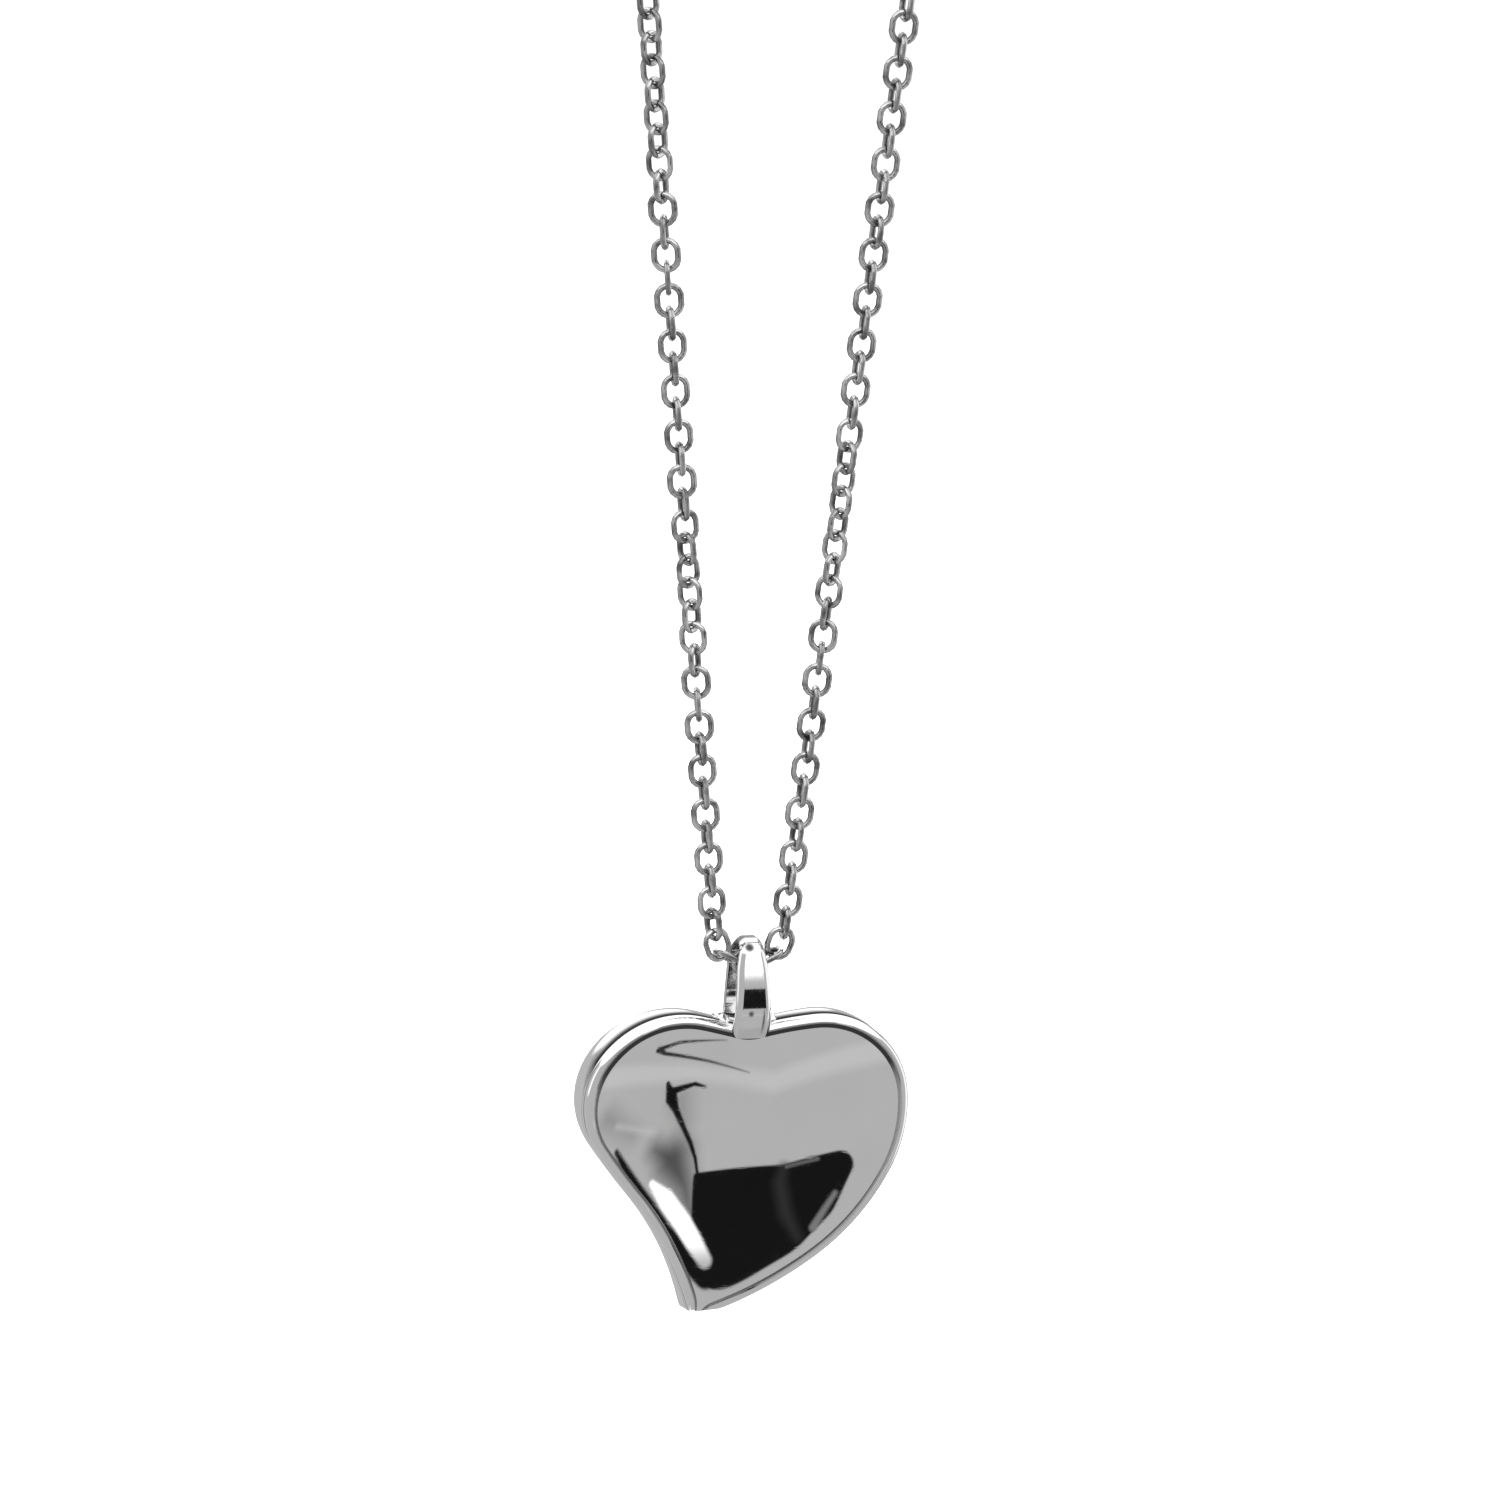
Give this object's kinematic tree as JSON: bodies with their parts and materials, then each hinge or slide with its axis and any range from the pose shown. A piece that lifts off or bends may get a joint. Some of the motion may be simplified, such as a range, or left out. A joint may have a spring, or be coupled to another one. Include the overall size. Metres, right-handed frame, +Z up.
{
  "type": "heart pendant necklace",
  "caption": "Heart pendant with rolled rims and a dished front, on a tapered strap bail that swings on a fine cable chain with a plain clasp.",
  "frame": {"origin": "the underside of the clasp, at the top of the loop, where the chain rests at the nape", "axes": "+Z up, with the loop hanging in the XZ plane; -Y towards the heart's front; +X to the right of someone facing the front"},
  "size_m": [0.044, 0.0052, 0.2325],
  "materials": {
    "polished_silver": "polished",
    "chain_silver": "polished",
    "clasp_silver": "polished"
  },
  "bodies": {
    "chain": {"chain_front": "chain_silver", "chain_back": "chain_silver", "clasp": "clasp_silver"},
    "pendant": {"pendant": "polished_silver"}
  },
  "joints": [
    {"name": "pendant_swing", "type": "hinge", "parent": "chain", "child": "pendant", "pos_m": [0, 0, -0.21076], "axis": [1, 0, 0], "range_deg": [-90, 90]}
  ]
}
